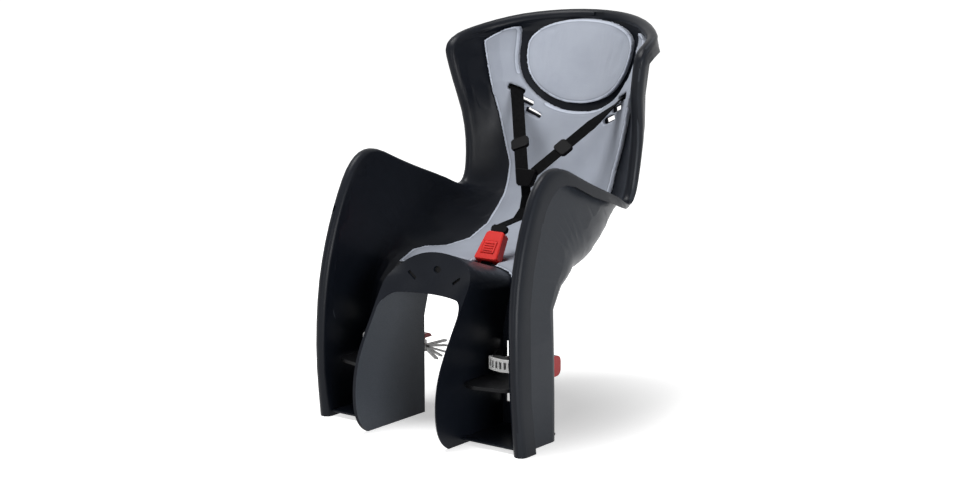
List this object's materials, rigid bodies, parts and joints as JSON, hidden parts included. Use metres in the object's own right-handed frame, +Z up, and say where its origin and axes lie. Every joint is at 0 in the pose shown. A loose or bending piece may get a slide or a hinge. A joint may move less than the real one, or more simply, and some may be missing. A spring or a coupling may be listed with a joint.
{
  "type": "child bike seat",
  "caption": "Rear child bike seat: moulded shell with head wings, armrests and leg channels, padded cover, harness, buckle and sliding footrests.",
  "frame": {"origin": "centre of the four carrier screw holes, on the underside of the seat pan", "axes": "+Z up, +Y towards the back of the seat, the child faces -Y, +X is the child's left"},
  "size_m": [0.4584, 0.6281, 0.7144],
  "materials": {
    "shell": "satin moulded plastic",
    "cushion": "soft foam with a smooth cover",
    "webbing": "woven belt",
    "fitting": "satin",
    "buckle": "glossy",
    "footrest": "satin",
    "foot_strap": "smooth soft plastic",
    "lever": "glossy",
    "pin": "bare"
  },
  "bodies": {
    "seat": {"seat_shell": "shell", "back_cushion": "cushion", "head_pad": "cushion", "left_shoulder_strap": "webbing", "right_shoulder_strap": "webbing", "lower_strap": "webbing", "crotch_strap": "webbing", "strap_joiner": "fitting", "buckle_tongue": "fitting", "left_strap_anchor": "fitting", "right_strap_anchor": "fitting", "crotch_anchor": "fitting", "buckle_body": "buckle"},
    "buckle_button": {"buckle_button": "buckle"},
    "left_footrest": {"left_footrest": "footrest", "left_foot_strap": "foot_strap", "left_lever_pin": "pin"},
    "right_footrest": {"right_footrest": "footrest", "right_foot_strap": "foot_strap", "right_lever_pin": "pin"},
    "left_lever": {"left_lock_lever": "lever"},
    "right_lever": {"right_lock_lever": "lever"},
    "left_slider": {"left_strap_slider": "fitting"},
    "right_slider": {"right_strap_slider": "fitting"}
  },
  "joints": [
    {"name": "buckle_press", "type": "slide", "parent": "seat", "child": "buckle_button", "axis": [0, 0.809, -0.5878], "range_m": [0, 0.003], "stiffness_N_per_m": 600},
    {"name": "left_footrest_height", "type": "slide", "parent": "seat", "child": "left_footrest", "axis": [0, 0, 1], "range_m": [-0.045, 0.022]},
    {"name": "left_lever_turn", "type": "hinge", "parent": "left_footrest", "child": "left_lever", "pos_m": [0.145, -0.104, -0.121], "axis": [1, 0, 0], "range_deg": [0, 55]},
    {"name": "left_slider_shift", "type": "slide", "parent": "seat", "child": "left_slider", "axis": [-0.4987, -0.6125, -0.6133], "range_m": [-0.03, 0.03]},
    {"name": "right_footrest_height", "type": "slide", "parent": "seat", "child": "right_footrest", "axis": [0, 0, 1], "range_m": [-0.045, 0.022]},
    {"name": "right_lever_turn", "type": "hinge", "parent": "right_footrest", "child": "right_lever", "pos_m": [-0.145, -0.104, -0.121], "axis": [1, 0, 0], "range_deg": [0, 55]},
    {"name": "right_slider_shift", "type": "slide", "parent": "seat", "child": "right_slider", "axis": [0.4987, -0.6125, -0.6133], "range_m": [-0.03, 0.03]}
  ]
}
